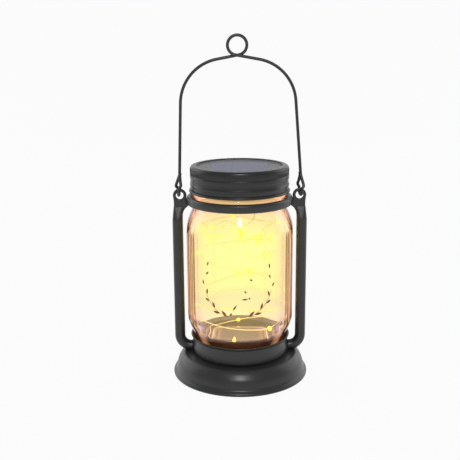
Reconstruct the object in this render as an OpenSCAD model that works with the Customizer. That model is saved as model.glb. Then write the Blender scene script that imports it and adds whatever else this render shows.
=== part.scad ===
// Mason jar lantern: an amber glass jar stands in a cup on a stamped foot, between two
// tube uprights that carry a ring round its neck and a wire bail. The screw band holds
// a solar lamp unit on the mouth, and its string of lights lies inside the jar.
// Millimetres, +Z up, origin at the middle of the foot's underside.

/* [Foot] */
// Outside radius of the foot, over its rolled edge
foot_r = 50.6; // [48:0.2:58]
// Height of the foot's flat top
foot_h = 16.4; // [13:0.2:24]
// Thickness of the foot's sheet steel
foot_wall = 1.2; // [0.8:0.1:1.6]
// Radius of the rolled edge
foot_bead_r = 2.2; // [1.6:0.1:3]
// How far the foot's side steps in from the rolled edge
foot_step = 2.6; // [2:0.1:4]

/* [Jar] */
// Outside radius of the jar's body
jar_r = 39.25; // [37:0.25:42]
// Height of the jar, from its resting ring to its rim
jar_h = 136.1; // [120:0.1:160]
// Thickness of the jar's wall
jar_wall = 3.2; // [2.5:0.1:3.6]
// Outside radius of the jar's neck
neck_r = 34; // [32:0.1:34.5]
// Thickness of the neck's wall
neck_wall = 4; // [3.5:0.1:4.5]
// Length of the straight neck
neck_len = 24.7; // [24:0.1:27]
// Height of the rounded shoulder between body and neck
shoulder_h = 20; // [16:0.5:24]
// Radius of the ring that the jar stands on
jar_base_r = 28.5; // [26:0.25:30]
// Height of the tapered heel
heel_h = 26; // [22:0.5:32]
// Thickness of glass in the jar's floor
jar_floor = 6; // [4:0.5:9]
// How far the thread stands out of the neck
thread_depth = 0.8; // [0.7:0.05:1.2]
// Rise of the thread for each turn
thread_lead = 5.08; // [4.8:0.01:5.4]

/* [Cup] */
// Thickness of the cup's sheet steel
cup_wall = 1.2; // [0.8:0.1:1.6]
// Height of the cup, from the foot's top to its lip
cup_h = 14; // [11:0.1:17]
// Free space round the jar's heel inside the cup
cup_gap = 2; // [1:0.1:3]
// How far the cup's lip flares out
cup_flare = 1.2; // [0.6:0.1:2]

/* [Uprights] */
// Outside diameter of the upright tubes
tube_d = 7.8; // [6:0.1:9]
// Wall of the upright tubes
tube_wall = 0.8; // [0.5:0.1:1.2]
// Free space between the jar's body and each upright
jar_gap = 2.35; // [1.5:0.05:5]
// Radius of the bend at the foot of each upright, at the middle of the tube
bend_r = 8.5; // [7:0.25:11]
// Thickness of the flattened ear
ear_t = 1.6; // [1.2:0.1:2]
// Outside radius of the ear's eye
ear_r = 5.1; // [4.8:0.1:5.6]
// Radius of the hole in the ear
ear_hole_r = 2.7; // [2.6:0.05:2.8]

/* [Neck ring] */
// Height of the ring's section
ring_bar_h = 6.4; // [5:0.1:6.8]
// Width of the ring's section, from inside to outside
ring_bar_w = 3.8; // [3.4:0.1:4.4]
// Free space between the jar's neck and the ring
ring_gap = 0.8; // [0.4:0.1:1.4]

/* [Bail] */
// Diameter of the bail's wire
wire_d = 2.2; // [1.8:0.1:2.4]
// Height from the hinge to where the wire crosses under the eye
bail_h = 95.7; // [80:0.1:120]
// Half the width of the bail at its shoulders
bail_half_w = 41; // [39:0.2:48]
// Radius of the bail's shoulders
shoulder_r = 31.7; // [26:0.1:36]
// How far the hand-bent shoulders sit to the left of the middle
shoulder_shift = 0.7; // [-1:0.1:1]
// Slope of the wire on both sides of the eye
crown_slope = 10.5; // [4:0.5:14]
// Radius of the hanging eye, at the middle of the wire
eye_r = 6.8; // [5:0.2:10]
// How far the hand-bent eye sits to the left of the middle
eye_shift = 1.3; // [-2:0.1:2]
// Radius of the loop that turns in the ear, at the middle of the wire
loop_r = 3.8; // [3.7:0.05:4]
// How far the left loop's strands stand apart sideways
twist_left = 1.65; // [0:0.05:2]
// How far the right loop's strands stand apart sideways
twist_right = 2; // [0:0.05:2]

/* [Screw band] */
// Thickness of the band's sheet steel
band_wall = 0.5; // [0.4:0.05:0.6]
// Radius of the round window in the band's top
band_open_r = 31.2; // [30.6:0.1:31.6]
// Free space between the band and the ring below it
band_gap = 2.8; // [1:0.1:4]
// Play between the band and what it turns against
turn_gap = 0.1; // [0.05:0.05:0.3]

/* [Solar unit] */
// Thickness of the unit's flange
flange_t = 2.7; // [2.4:0.1:3.4]
// Thickness of the seal under the flange
seal_t = 1; // [0.8:0.1:1.6]
// Gap between the unit's tub and the neck's bore
tub_gap = 1.5; // [1:0.1:2.5]
// Height of the tub below the flange
tub_h = 21.8; // [20:0.2:26]
// Wall of the tub and thickness of its bottom cover
tub_wall = 1.6; // [1.2:0.1:1.8]
// Side of the square solar cell
cell_side = 42; // [36:0.5:43]
// Thickness of the solar cell's board
cell_t = 1.2; // [1:0.1:1.4]
// Thickness of the clear window
window_t = 0.9; // [0.7:0.1:1.2]
// Diameter of the battery
battery_d = 10.5; // [9.5:0.1:10.5]
// Room for the spring behind the battery
spring_len = 1.9; // [1.5:0.1:4]
// Travel of the switch
switch_travel = 3; // [2:0.1:3.5]

/* [String of lights] */
// Diameter of the copper wire
string_d = 0.8; // [0.6:0.1:1]
// Diameter of each light
light_d = 2.6; // [2:0.1:3]

/* [Hidden] */
$fn = 96;

STEEL = [0.20, 0.20, 0.21];
BLACK_PLASTIC = [0.09, 0.09, 0.10];
COPPER = [0.72, 0.42, 0.22];
round_fn = 48; // small round parts
snug = 0.05; // play of a pin in its hole
slip = 0.15; // play round a sliding or loosely laid piece
bite = 0.5; // how far joined shapes run into each other
joint_gap = 0.05; // gap between two bars, inside the ball that joins them

// Foot and cup
bead_z = 0.5; // height of the rolled edge's widest part: it is pressed flat underneath
side_r = foot_r - foot_step; // the foot's side, above the rolled edge
crown_r = side_r - 9.2; // the flat of the foot's top
cup_top = foot_h + cup_h;
cup_floor = foot_h + cup_wall;
heel_step = 4.1; // how far the heel flares in its first third
cup_r = jar_base_r + heel_step + cup_gap + cup_wall;
cup_round = 2;
rivet_r = 2.5;
rivet_head_r = 5;
rivet_head_h = 1.2;

// Jar
jar_z = cup_floor;
rim_z = jar_z + jar_h;
neck_z = rim_z - neck_len;
shoulder_z = neck_z - shoulder_h;
heel_z = jar_z + heel_h;
push_up = 2.7; // hollow of the jar's underside
inner_r = jar_r - jar_wall;
neck_bore_r = neck_r - neck_wall;
floor_z = jar_z + push_up + jar_floor;
thread_r = neck_r + thread_depth;
thread_top = rim_z - 2.4;
thread_turns = 1.5;
band_thread_turns = 1.25;
band_thread_start = -15; // bearing where the band's thread begins
ridge_root_w = 2;
ridge_crest_w = 0.9;
segments = 60; // facets in one turn of the thread

// Neck ring
ring_in_r = neck_r + ring_gap;
ring_r = ring_in_r + ring_bar_w / 2;
ring_out_r = ring_in_r + ring_bar_w;
ring_seat = 0.5; // the ring's height above the shoulder
ring_z = neck_z + ring_seat + ring_bar_h / 2;
ring_top = ring_z + ring_bar_h / 2;

// Uprights
tube_r = tube_d / 2;
ear_in = 1.85; // how far the ear's middle lies inside the tube's
ear_weld = 0.05; // how far the ear runs into the ring
taper_len = 15; // length of the tube's flattened end, up to the ear's middle
upright_x = max(jar_r + jar_gap + tube_r, ring_out_r - ear_weld + ear_r + ear_in);
low_z = foot_h + 3; // middle of the tube's end at the cup, a little squashed on the foot
bend_z = low_z + bend_r;
ear_x = upright_x - ear_in;
ear_z = ring_z + 2.95;
ear_base_z = ear_z - taper_len; // where the tube starts to flatten
web_r = 8; // hollow curve under the web
web_a = 62; // how far that curve turns towards the ring
waist_r = 40; // hollow curve on the outside of the ear's neck
waist_z = ear_z - 6.2;
waist_in = 1.2; // depth of the waist
hull_top = waist_z - 2; // where the tube is flattened to the ear's thickness

// Bail
wire_r = wire_d / 2;
hinge_z = ear_z + (ear_r + ear_hole_r) / 2;
crown_z = hinge_z + bail_h;
eye_z = crown_z + eye_r;
eye_lean = wire_r + 0.1; // half the offset between the crossing wires
loop_x = ear_x + 0.8; // the loops press outwards in their holes
knee_y = 2.9;
knee_z = hinge_z + 3.8;
apex_x = ear_x + 0.2; // where the two strands of a loop meet
apex_z = hinge_z + 11.3;
apex_shift = 0.45; // how far those meeting points lie to the right of the middle
shoulder_x = bail_half_w - shoulder_r; // middle of the shoulder bend
crown_a = 90 - crown_slope;
loop_open = 110; // the round part of the loop reaches this far up each side
loop_turn = 10; // how far the loops are turned out of the hinge's plane

// Solar unit and screw band
flange_z = rim_z + seal_t;
flange_top = flange_z + flange_t;
flange_r = neck_r + 0.4;
band_z1 = flange_top + turn_gap + band_wall;
band_z0 = ring_top + band_gap;
band_in_r = thread_r + 0.25;
band_r = band_in_r + band_wall + 0.4;
curl_r = 0.95;
curl_x = band_r;
window_r = band_open_r - 0.5;
window_seat = flange_top + 0.1 - window_t;
cell_z = window_seat - cell_t;
tub_r = neck_bore_r - tub_gap;
tub_in_r = tub_r - tub_wall;
tub_z = flange_z - tub_h;
cover_top = tub_z + tub_wall;
cover_r = tub_in_r - 0.2;
boss_r = 2.5;
boss_in = 2.9; // gap between a screw boss and the tub's wall
screw_at = tub_in_r - boss_in - boss_r;
screw_angles = [100, 215, 325];
screw_r = 0.8;
screw_head_r = 1.9;
screw_head_h = 1.2;
screw_len = 8;

// Battery, along X, over the bottom cover
battery_y = 4;
battery_z = cover_top + 0.6 + battery_d / 2;
nub_h = 0.8;
nub_r = 1.9;
contact_t = 0.4;
contact_w = 7;
contact_h = 7.5;
contact_up = 1.5; // gap between a contact and the cover
cradle_w = 9;
cradle_t = 1.2;
cradle_h = 10;
cradle_gap = 0.68; // gap between the cradle's corners and the tub's wall
contact_x = sqrt(pow(tub_in_r - cradle_gap, 2) - pow(battery_y + cradle_w / 2, 2)) - cradle_t; // inner face of each end wall
battery_x1 = contact_x - contact_t;
battery_x0 = -battery_x1 + spring_len;
battery_len = battery_x1 - battery_x0;
saddle_w = 2;
saddle_h = 3.4;
saddle_x = battery_len * 0.27;
spring_wire = 0.5;

// Circuit board, switch and wire outlet
board_gap = 2.1; // gap between the board's end and a screw boss
board_w = 2 * (screw_at * cos(screw_angles[2]) - boss_r - board_gap);
board_d = 13;
board_t = 1;
board_y = -10.5;
board_z = cover_top + 4;
post_x = board_w / 2 - 4;
post_y = board_y + 4;
chip_w = 4;
chip_d = 5;
chip_h = 1.4;
choke_r = 2;
choke_h = 3.5;
capacitor_r = 2.5;
capacitor_h = 3;
switch_y = -13;
switch_w = 8.6;
switch_d = 4.4;
switch_h = 3.6;
knob_w = 2.2;
knob_d = 1.6;
knob_head_d = 2.8;
knob_out = 1.4; // how far the knob stands below the cover
outlet = [10, -15];
grommet_r = 1.95;
lead_ends = [[-6, -8], [6, -8]];
lead_r = 0.5;

// String of lights: [bearing, radius, height] of hand-laid points, from the circuit
// board out through the grommet and down the inside of the jar to its floor
string_route = [
    [-56.3, 18, 138.5], [-56.3, 18, 131.5], [-57, 18.5, 126.5], [-64, 22, 122.5], [-77, 26, 120], [-92, 27, 117.5],
    [-106, 27, 119], [-119, 27, 116.5], [-125, 27, 110.5], [-117, 27, 104.5], [-104, 27, 102.5], [-91, 27, 106],
    [-88, 24.5, 113], [-97, 24.5, 119], [-115, 25.5, 121.5], [-137, 27, 116], [-165, 28, 117], [150, 28, 113],
    [100, 28, 116], [50, 28, 112], [0, 28, 115], [-32, 27.5, 118], [-50, 27, 115], [-57, 27, 111],
    [-70, 27, 110], [-83, 27.5, 107], [-86, 28, 101], [-76, 29, 96.5], [-58, 30.5, 97.5], [-18, 32.8, 99.5],
    [20, 33.5, 97], [65, 33.5, 95], [120, 33.5, 92], [180, 33.5, 96], [-150, 33.5, 97], [-120, 33.5, 91],
    [-80, 33.5, 88], [-45, 33.5, 78], [-22, 33.5, 68], [30, 33.5, 71], [90, 33.5, 65], [150, 33.5, 60],
    [-155, 33.5, 57], [-100, 33.5, 60], [-50, 33.5, 56], [5, 33.5, 52], [65, 33.5, 55], [125, 33.5, 52],
    [-175, 33.5, 48], [-135, 33, 46.5], [-95, 32.5, 44], [-48, 31, 40.5], [5, 30.5, 37.5], [50, 29, 34],
    [92, 27, 30], [135, 25.5, 28.5], [175, 24.5, 28], [-155, 21.5, 27.4], [-136, 16.5, 27.3], [-114, 11, 27.7]];
// Points of the route that carry a light
lit_points = [5, 8, 12, 15, 18, 20, 23, 24, 28, 31, 34, 36, 38, 40, 42, 45, 48, 51, 54, 59];

function polar(p) = [p[1] * cos(p[0]), p[1] * sin(p[0]), p[2]];
function clamp_index(i, n) = max(0, min(n - 1, i));

// Arc in the plane: points from bearing a0 to a1 round the middle c
function arc(c, r, a0, a1, n) =
    [for (i = [0:n]) [c[0] + r * cos(a0 + (a1 - a0) * i / n), c[1] + r * sin(a0 + (a1 - a0) * i / n)]];

// One point of the smooth curve through p[i] and p[i + 1]
function between(p, i, t) =
    let(n = len(p),
        a = p[clamp_index(i - 1, n)], b = p[i],
        c = p[clamp_index(i + 1, n)], d = p[clamp_index(i + 2, n)])
    0.5 * (2 * b + (c - a) * t + (2 * a - 5 * b + 4 * c - d) * t * t
        + (3 * b - a - 3 * c + d) * t * t * t);

function unit(v) = v / norm(v);
function heading(p, i) = unit(p[clamp_index(i + 1, len(p))] - p[clamp_index(i - 1, len(p))]);

// Faces of a tube of n rings with s sides
function tube_faces(n, s) = concat(
    [[for (j = [0:s - 1]) j]],
    [for (i = [0:n - 2], j = [0:s - 1])
        [i * s + j, (i + 1) * s + j, (i + 1) * s + (j + 1) % s, i * s + (j + 1) % s]],
    [[for (j = [s - 1:-1:0]) (n - 1) * s + j]]);

// Tube of radius r swept along the points p, with s sides; "up" is never along the path
module tube_along(p, r, s, up = [0, 0, 1]) {
    rings = [for (i = [0:len(p) - 1])
        let(t = heading(p, i), u = unit(cross(up, t)), v = cross(t, u))
        for (j = [0:s - 1]) p[i] + r * (cos(-360 * j / s) * u + sin(-360 * j / s) * v)];
    polyhedron(points = rings, faces = tube_faces(len(p), s), convexity = 10);
}

// Straight round bar from p to q, stopping a hair short of both for its joints
module bar(p, q, r) {
    d = q - p;
    translate(p + joint_gap * unit(d))
        rotate([0, acos(d[2] / norm(d)), atan2(d[1], d[0])])
            cylinder(r = r, h = norm(d) - 2 * joint_gap, $fn = round_fn);
}

// Round bar bent in the XZ plane, from bearing a0 to a1, a hair short at both ends
module bend(middle, radius, a0, a1, r) {
    short = joint_gap / radius * 180 / PI;
    translate(middle)
        rotate([90, 0, 0])
            rotate([0, 0, a0 + short])
                rotate_extrude(angle = a1 - a0 - 2 * short)
                    translate([radius, 0])
                        circle(r = r, $fn = round_fn);
}

// Ball that joins two bars
module joint(p, r) {
    translate(p)
        sphere(r = r + 0.03, $fn = round_fn);
}

// Screw thread ridge from the bearing start downwards, tapering out at both ends; top_z is
// the height that its helix has at bearing 0
module thread_ridge(root_r, crest_r, top_z, turns, start) {
    n = round(turns * segments);
    fade = 6;
    profile = [for (i = [0:n])
        let(a = start - 360 * i / segments,
            z = top_z + thread_lead * (start / 360 - i / segments),
            k = max(0.08, min(1, i / fade, (n - i) / fade)),
            tip = root_r + (crest_r - root_r) * k,
            corners = [[root_r, ridge_root_w / 2], [tip, ridge_crest_w / 2],
                [tip, -ridge_crest_w / 2], [root_r, -ridge_root_w / 2]])
        for (c = corners) [c[0] * cos(a), c[0] * sin(a), z + c[1]]];
    polyhedron(points = profile, faces = tube_faces(n + 1, 4), convexity = 10);
}

module base_foot() {
    skin = concat([[0, foot_h], [crown_r, foot_h]],
        [[crown_r + 3.5, foot_h - 0.3], [crown_r + 5.6, foot_h - 1.1], [crown_r + 6.6, foot_h - 2.4],
         [crown_r + 7.4, foot_h - 4.7], [side_r - 0.3, foot_h / 2], [side_r, foot_h / 3],
         [side_r, bead_z + 1]]);
    lining = [for (i = [len(skin) - 1:-1:0])
        [max(0, skin[i][0] - (i == 0 ? 0 : foot_wall)), skin[i][1] - foot_wall]];
    color(STEEL)
        difference() {
            union() {
                rotate_extrude()
                    polygon(concat(skin, lining));
                rotate_extrude()
                    translate([foot_r - foot_bead_r, bead_z])
                        circle(r = foot_bead_r, $fn = round_fn);
            }
            translate([0, 0, -foot_bead_r])
                cylinder(r = foot_r + 1, h = foot_bead_r);
            translate([0, 0, foot_h - foot_wall - 1])
                cylinder(r = rivet_r + snug, h = foot_wall + 2, $fn = round_fn);
        }
}

module jar_cup() {
    color(STEEL)
        difference() {
            rotate_extrude()
                polygon(concat(
                    [[0, foot_h]],
                    arc([cup_r - cup_round, foot_h + cup_round], cup_round, -90, 0, 6),
                    [[cup_r, cup_top - 2.8], [cup_r + cup_flare * 0.4, cup_top - 1.2], [cup_r + cup_flare, cup_top],
                     [cup_r + cup_flare - cup_wall, cup_top], [cup_r - cup_wall, cup_top - 2.4]],
                    arc([cup_r - cup_round, foot_h + cup_round], cup_round - cup_wall, 0, -90, 6),
                    [[0, cup_floor]]));
            translate([0, 0, foot_h - 1])
                cylinder(r = rivet_r + snug, h = cup_wall + 2, $fn = round_fn);
        }
}

module cup_rivet() {
    under = foot_h - foot_wall;
    color(STEEL) {
        translate([0, 0, under - rivet_head_h])
            cylinder(r1 = rivet_head_r - 1.5, r2 = rivet_head_r - 1, h = rivet_head_h, $fn = round_fn);
        translate([0, 0, under - bite])
            cylinder(r = rivet_r, h = cup_floor - under + 2 * bite, $fn = round_fn);
        translate([0, 0, cup_floor])
            cylinder(r1 = rivet_head_r, r2 = rivet_head_r - 2, h = rivet_head_h, $fn = round_fn);
    }
}

// Flat outline of the ear, its waist and the web to the neck ring, drawn in X and Z
module ear_outline() {
    outer_x = upright_x + tube_r - waist_in;
    polygon(concat(
        arc([upright_x - tube_r - web_r, ear_base_z], web_r, 0, web_a, 8),
        [[ring_r, ring_z - ring_bar_h / 2 + bite], [ring_out_r - bite, ear_z - 2.2], [ear_x, ear_z]],
        arc([outer_x + waist_r, waist_z], waist_r, 173.7, 180 + asin((waist_z - hull_top) / waist_r), 8)));
    translate([ear_x, ear_z])
        circle(r = ear_r, $fn = round_fn);
}

module upright() {
    difference() {
        union() {
            translate([upright_x, 0, bend_z])
                cylinder(r = tube_r, h = ear_base_z - 3 - bend_z, $fn = round_fn);
            translate([upright_x - bend_r, 0, bend_z])
                rotate([90, 0, 0])
                    rotate([0, 0, -90])
                        rotate_extrude(angle = 90)
                            translate([bend_r, 0])
                                circle(r = tube_r, $fn = round_fn);
            translate([cup_r - 3, 0, low_z])
                rotate([0, 90, 0])
                    cylinder(r = tube_r, h = upright_x - bend_r - cup_r + 3, $fn = round_fn);
            hull() {
                translate([upright_x, 0, ear_base_z - 3.1])
                    cylinder(r = tube_r, h = 0.1, $fn = 32);
                translate([upright_x - tube_r, -ear_t / 2, hull_top])
                    cube([2 * tube_r - waist_in, ear_t, 0.1]);
            }
            rotate([90, 0, 0])
                translate([0, 0, -ear_t / 2])
                    linear_extrude(ear_t)
                        ear_outline();
        }
        translate([upright_x, 0, bend_z])
            cylinder(r = tube_r - tube_wall, h = ear_base_z - 3.5 - bend_z, $fn = round_fn);
        translate([ear_x, 0, ear_z])
            rotate([90, 0, 0])
                cylinder(r = ear_hole_r, h = ear_t + 2, center = true, $fn = round_fn);
        cylinder(r = cup_r, h = cup_top);
        cylinder(r = foot_r, h = foot_h);
        ring_solid();
    }
}

module left_upright() {
    color(STEEL) mirror([1, 0, 0]) upright();
}

module right_upright() {
    color(STEEL) upright();
}

module ring_solid() {
    half = ring_bar_w / 2;
    rotate_extrude()
        translate([ring_r, ring_z]) {
            for (s = [-1, 1])
                translate([0, s * (ring_bar_h / 2 - half)])
                    circle(r = half, $fn = round_fn);
            square([ring_bar_w, ring_bar_h - ring_bar_w], center = true);
        }
}

module neck_ring() {
    color(STEEL) ring_solid();
}

module glass_jar() {
    outside = concat(
        [[0, jar_z + push_up], [jar_base_r - 8.5, jar_z + push_up], [jar_base_r - 5, jar_z], [jar_base_r - 1, jar_z],
         [jar_base_r, jar_z + 0.9], [jar_base_r + heel_step, jar_z + heel_h / 3], [jar_r + 0.25, heel_z],
         [jar_r + 0.4, heel_z + 1.2], [jar_r, heel_z + 2.6], [jar_r, shoulder_z]],
        [[jar_r - 0.75, shoulder_z + shoulder_h * 0.33], [jar_r - 2.75, shoulder_z + shoulder_h * 0.57],
         [neck_r + 0.9, shoulder_z + shoulder_h * 0.82], [neck_r, neck_z],
         [neck_r, rim_z - 0.8], [neck_r - 0.6, rim_z]]);
    inside = [[neck_bore_r + 0.6, rim_z], [neck_bore_r, rim_z - 0.6], [neck_bore_r, neck_z],
        [neck_bore_r + 1.2, shoulder_z + shoulder_h * 0.8], [inner_r - 2.8, shoulder_z + shoulder_h * 0.55],
        [inner_r - 0.7, shoulder_z + shoulder_h * 0.3], [inner_r, shoulder_z], [inner_r, heel_z + 2],
        [jar_base_r + 1, floor_z + 2], [jar_base_r - 1, floor_z], [0, floor_z]];
    color([0.93, 0.62, 0.33], 0.45) {
        rotate_extrude()
            polygon(concat(outside, inside));
        thread_ridge(neck_r - 0.4, thread_r, thread_top, thread_turns, 0);
    }
}

// One side of the bail, from half of the eye over the shoulder to the loop in the ear.
// It is drawn as the right one: its shoulder and eye are bent outwards by the given
// amounts, and the loop is twisted, with its outer strand higher by knee_rise.
module bail_side(twist, knee_rise, apex_out, shoulder_out, eye_out) {
    apex = [apex_x + apex_out, 0, apex_z];
    eye = [eye_out, 0, eye_z];
    eye_end = eye + [-eye_r * sin(crown_slope), -eye_lean, -eye_r * cos(crown_slope)];
    crown_x = shoulder_x + shoulder_out + shoulder_r * cos(crown_a);
    crown_end = [crown_x, 0, eye_end[2] - (crown_x - eye_end[0]) * tan(crown_slope)];
    shoulder = crown_end - shoulder_r * [cos(crown_a), 0, sin(crown_a)];
    drop = apex - shoulder;
    leg_a = atan2(drop[2], drop[0]) + acos(shoulder_r / norm(drop));
    leg_top = shoulder + shoulder_r * [cos(leg_a), 0, sin(leg_a)];
    // the half of the eye that runs down to the crossing and on to this side
    translate(eye + [0, 0, eye_r])
        rotate([-asin(eye_lean / (2 * eye_r)), 0, 0])
            bend([0, 0, -eye_r], eye_r, 90, 270 - crown_slope, wire_r);
    joint(eye_end, wire_r);
    bar(crown_end, eye_end, wire_r);
    joint(crown_end, wire_r);
    bend(shoulder, shoulder_r, leg_a, crown_a, wire_r);
    joint(leg_top, wire_r);
    bar(apex, leg_top, wire_r);
    joint(apex, wire_r);
    translate([loop_x, 0, hinge_z])
        rotate([0, 0, 90 + loop_turn])
            bend([0, 0, 0], loop_r, -90 - loop_open, -90 + loop_open, wire_r);
    for (strand = [-1, 1]) {
        reach = strand * loop_r * sin(loop_open);
        low = [loop_x - reach * sin(loop_turn), reach * cos(loop_turn), hinge_z - loop_r * cos(loop_open)];
        knee = [loop_x - strand * twist, strand * knee_y, knee_z + (strand < 0 ? knee_rise : 0)];
        joint(low, wire_r);
        bar(low, knee, wire_r);
        joint(knee, wire_r);
        bar(knee, apex, wire_r);
    }
}

module bail() {
    color(STEEL) {
        bail_side(twist_right, 1, apex_shift, -shoulder_shift, -eye_shift);
        // the left side is the same wire, turned half round so that the eye closes
        rotate([0, 0, 180])
            bail_side(twist_left, -1, -apex_shift, shoulder_shift, eye_shift);
        joint([-eye_shift, 0, eye_z + eye_r], wire_r);
    }
}

module screw_band() {
    low = band_z0 + curl_r;
    skin = [[curl_x - 0.3, low], [band_r - 0.15, low + 2], [band_r - 0.15, low + 4.2], [band_r + 0.1, low + 5],
        [band_r - 0.15, low + 6.2], [band_r - 0.15, band_z1 - 9.4], [band_r + 0.05, band_z1 - 8],
        [band_r + 0.1, band_z1 - 5.5], [band_r + 0.1, band_z1 - 2]];
    lining = [[band_r + 0.1 - band_wall, band_z1 - 2], [band_r + 0.1 - band_wall, band_z1 - 5.5],
        [band_r - 0.15 - band_wall, band_z1 - 9.4], [band_r - 0.15 - band_wall, low + 2],
        [curl_x - 0.3 - band_wall, low]];
    round_c = [band_r - 1.7, band_z1 - 1.8];
    color(STEEL) {
        rotate_extrude() {
            polygon(concat(skin, arc(round_c, 1.8, 0, 90, 8), [[band_open_r, band_z1],
                [band_open_r, band_z1 - band_wall]], arc(round_c, 1.8 - band_wall, 90, 0, 8), lining));
            translate([curl_x, low])
                circle(r = curl_r, $fn = round_fn);
        }
        thread_ridge(band_in_r + 0.55, band_in_r - 0.7, thread_top - thread_lead / 2 + 0.2,
            band_thread_turns, band_thread_start);
    }
}

module lid_seal() {
    color([0.85, 0.85, 0.82])
        translate([0, 0, rim_z])
            difference() {
                cylinder(r = neck_r - 0.2, h = seal_t);
                translate([0, 0, -1])
                    cylinder(r = tub_r + 0.5, h = seal_t + 2);
            }
}

module screw_places() {
    for (a = screw_angles)
        rotate([0, 0, a])
            translate([screw_at, 0, 0])
                children();
}

module solar_housing() {
    color(BLACK_PLASTIC)
        difference() {
            union() {
                translate([0, 0, flange_z])
                    cylinder(r = flange_r, h = flange_t);
                translate([0, 0, tub_z])
                    difference() {
                        cylinder(r = tub_r, h = tub_h + bite);
                        translate([0, 0, -1])
                            cylinder(r = tub_in_r, h = tub_h + 1);
                    }
                screw_places()
                    translate([0, 0, cover_top])
                        cylinder(r = boss_r, h = flange_z + bite - cover_top, $fn = round_fn);
            }
            translate([0, 0, window_seat])
                cylinder(r = window_r + snug, h = flange_t);
            translate([-cell_side / 2 - slip, -cell_side / 2 - slip, cell_z])
                cube([cell_side + 2 * slip, cell_side + 2 * slip, flange_t]);
            for (p = lead_ends)
                translate([p[0], p[1], flange_z - 1])
                    cylinder(r = 0.7, h = flange_t, $fn = round_fn);
            screw_places()
                translate([0, 0, cover_top - 1])
                    cylinder(r = screw_r + snug, h = screw_len + 1, $fn = round_fn);
        }
}

module solar_window() {
    color([0.75, 0.78, 0.85], 0.3)
        translate([0, 0, window_seat])
            cylinder(r = window_r, h = window_t);
}

module solar_cell() {
    color([0.16, 0.16, 0.34])
        translate([-cell_side / 2, -cell_side / 2, cell_z])
            cube([cell_side, cell_side, cell_t]);
}

module bottom_cover() {
    color(BLACK_PLASTIC)
        difference() {
            union() {
                translate([0, 0, tub_z])
                    cylinder(r = cover_r, h = tub_wall);
                for (s = [-1, 1]) {
                    translate([s * post_x, post_y, cover_top - bite]) {
                        cylinder(r = 1.7, h = board_z - cover_top + bite, $fn = round_fn);
                        cylinder(r = 0.8, h = board_z - cover_top + board_t + 1, $fn = round_fn);
                    }
                    translate([s * (contact_x + cradle_t / 2), battery_y, cover_top - bite + cradle_h / 2])
                        cube([cradle_t, cradle_w, cradle_h], center = true);
                    translate([s * saddle_x, battery_y, cover_top - bite + saddle_h / 2])
                        cube([saddle_w, cradle_w, saddle_h], center = true);
                }
            }
            translate([-contact_x, battery_y, battery_z])
                rotate([0, 90, 0])
                    cylinder(r = battery_d / 2 + snug, h = 2 * contact_x, $fn = round_fn);
            translate([-switch_travel / 2 - knob_w / 2 - 0.3, switch_y - knob_d / 2 - 0.2, tub_z - 1])
                cube([switch_travel + knob_w + 0.6, knob_d + 0.4, tub_wall + 2]);
            translate([outlet[0], outlet[1], tub_z - 1])
                cylinder(r = grommet_r + snug, h = tub_wall + 2, $fn = round_fn);
            screw_places()
                translate([0, 0, tub_z - 1])
                    cylinder(r = screw_r + 0.15, h = tub_wall + 2, $fn = round_fn);
        }
}

module cover_screws() {
    color([0.55, 0.55, 0.57])
        screw_places() {
            translate([0, 0, tub_z - screw_head_h])
                difference() {
                    cylinder(r1 = screw_head_r - 0.5, r2 = screw_head_r, h = screw_head_h, $fn = round_fn);
                    for (a = [0, 90])
                        rotate([0, 0, a])
                            translate([-1.1, -0.2, -0.4])
                                cube([2.2, 0.4, 1]);
                }
            translate([0, 0, tub_z - 0.2])
                cylinder(r = screw_r, h = screw_len - 0.5 + tub_wall, $fn = round_fn);
        }
}

module circuit_board() {
    color([0.05, 0.30, 0.14])
        difference() {
            translate([-board_w / 2, board_y - board_d / 2, board_z])
                cube([board_w, board_d, board_t]);
            for (s = [-1, 1])
                translate([s * post_x, post_y, board_z - 1])
                    cylinder(r = 0.8 + snug, h = board_t + 2, $fn = round_fn);
        }
}

module board_parts() {
    top = board_z + board_t;
    color([0.12, 0.12, 0.13]) {
        translate([-chip_w / 2, board_y - chip_d / 2, top])
            cube([chip_w, chip_d, chip_h]);
        translate([post_x, board_y - choke_r, top])
            cylinder(r = choke_r, h = choke_h, $fn = round_fn);
        translate([-post_x, board_y - capacitor_r, top])
            cylinder(r = capacitor_r, h = capacitor_h, $fn = round_fn);
    }
}

module panel_leads() {
    color([0.6, 0.08, 0.08])
        for (p = lead_ends) {
            low = [p[0] * 0.7, p[1] - 0.5, board_z + board_t];
            turn = [p[0] * 0.7, p[1] - 0.5, board_z + 6];
            high = [p[0], p[1], flange_z - 3];
            bar(low, turn, lead_r);
            joint(turn, lead_r);
            bar(turn, high, lead_r);
            joint(high, lead_r);
            bar(high, [p[0], p[1], cell_z], lead_r);
        }
}

module switch_body() {
    base = board_z - switch_h;
    play = switch_travel + knob_w + 2 * slip;
    color([0.6, 0.6, 0.62])
        difference() {
            translate([-switch_w / 2, switch_y - switch_d / 2, base])
                cube([switch_w, switch_d, switch_h]);
            translate([-play / 2, switch_y - knob_d / 2 - slip, base - 1])
                cube([play, knob_d + 2 * slip, 2]);
            translate([-play / 2, switch_y - knob_head_d / 2 - slip, base + 0.5])
                cube([play, knob_head_d + 2 * slip, 1.7]);
        }
}

module switch_knob() {
    base = board_z - switch_h;
    color([0.85, 0.85, 0.85])
        translate([switch_travel / 2 - knob_w / 2, switch_y, 0]) {
            translate([0, -knob_d / 2, tub_z - knob_out])
                cube([knob_w, knob_d, base + 1 - tub_z + knob_out]);
            translate([0, -knob_head_d / 2, base + 0.5 + slip])
                cube([knob_w, knob_head_d, 1.4]);
        }
}

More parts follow.
